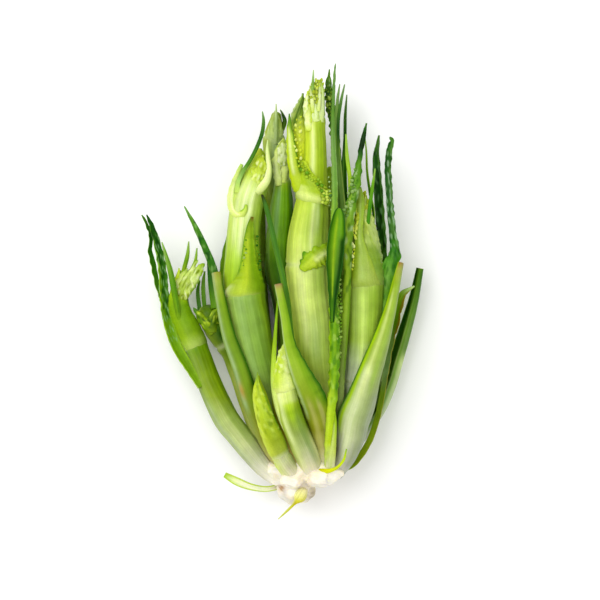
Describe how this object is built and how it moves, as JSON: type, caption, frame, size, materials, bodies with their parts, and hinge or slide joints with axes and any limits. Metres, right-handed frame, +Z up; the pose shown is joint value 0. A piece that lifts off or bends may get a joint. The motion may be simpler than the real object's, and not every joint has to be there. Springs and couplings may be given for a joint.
{
  "type": "puntarelle head",
  "caption": "Head of puntarelle chicory lying on its side: thick ridged shoots, cut leaf stalks and narrow leaves growing from one pale crown.",
  "frame": {"origin": "middle of the footprint on the table top, under the lying head", "axes": "+Y runs from the butt of the crown to the tips of the shoots, +X to the right with the butt towards the viewer, +Z up from the table"},
  "size_m": [0.1909, 0.3041, 0.0796],
  "materials": {
    "crown_flesh": "moist cut plant flesh, semi matte",
    "shoot_skin": "smooth waxy plant skin, satin",
    "stalk_skin": "smooth waxy plant skin, satin",
    "bract_skin": "crinkled young leaf, satin",
    "leaf_blade": "leaf blade, satin"
  },
  "bodies": {
    "root": {"crown": "crown_flesh", "main_shoot": "shoot_skin", "left_shoot": "shoot_skin", "right_shoot": "shoot_skin", "under_right_shoot": "shoot_skin", "under_left_shoot": "shoot_skin", "under_far_right_shoot": "shoot_skin", "middle_back_shoot": "shoot_skin", "back_left_shoot": "shoot_skin", "far_left_shoot": "shoot_skin", "small_left_shoot": "shoot_skin", "front_middle_shoot": "shoot_skin", "front_small_shoot": "shoot_skin", "under_small_shoot": "shoot_skin", "under_middle_shoot": "shoot_skin", "right_cut_stalk": "stalk_skin", "far_right_cut_stalk": "stalk_skin", "left_cut_stalk": "stalk_skin", "centre_cut_stalk": "stalk_skin", "under_cut_stalk": "stalk_skin", "main_shoot_collar": "bract_skin", "main_shoot_pointed_bract": "bract_skin", "main_shoot_side_bract": "bract_skin", "main_shoot_lower_bract": "bract_skin", "left_shoot_pointed_bract": "bract_skin", "left_shoot_curled_bract": "bract_skin", "left_shoot_hooked_bract": "bract_skin", "right_shoot_left_sheath": "bract_skin", "right_shoot_right_sheath": "bract_skin", "far_left_shoot_sheath": "bract_skin", "back_left_shoot_bract": "bract_skin", "far_left_leaf": "leaf_blade", "far_left_thin_leaf": "leaf_blade", "far_left_inner_leaf": "leaf_blade", "left_dark_leaf": "leaf_blade", "left_inner_leaf": "leaf_blade", "long_front_leaf": "leaf_blade", "spoon_leaf": "leaf_blade", "tall_back_leaf": "leaf_blade", "tall_middle_leaf": "leaf_blade", "tall_side_leaf": "leaf_blade", "pale_thin_leaf": "leaf_blade", "folded_front_leaf": "leaf_blade", "right_thin_leaf": "leaf_blade", "right_short_leaf": "leaf_blade", "right_dark_leaf": "leaf_blade", "right_bladed_leaf": "leaf_blade", "ragged_side_leaf": "leaf_blade", "cup_left_leaflet": "leaf_blade", "cup_middle_leaflet": "leaf_blade", "cup_right_leaflet": "leaf_blade", "far_left_top_leaflet": "leaf_blade", "far_left_side_leaflet": "leaf_blade", "main_shoot_tip_leaflet": "leaf_blade", "under_left_leaf": "leaf_blade", "under_long_leaf": "leaf_blade", "base_stub_leaf": "leaf_blade", "base_yellow_leaflet": "leaf_blade", "rootlet": "bract_skin"}
  },
  "joints": []
}
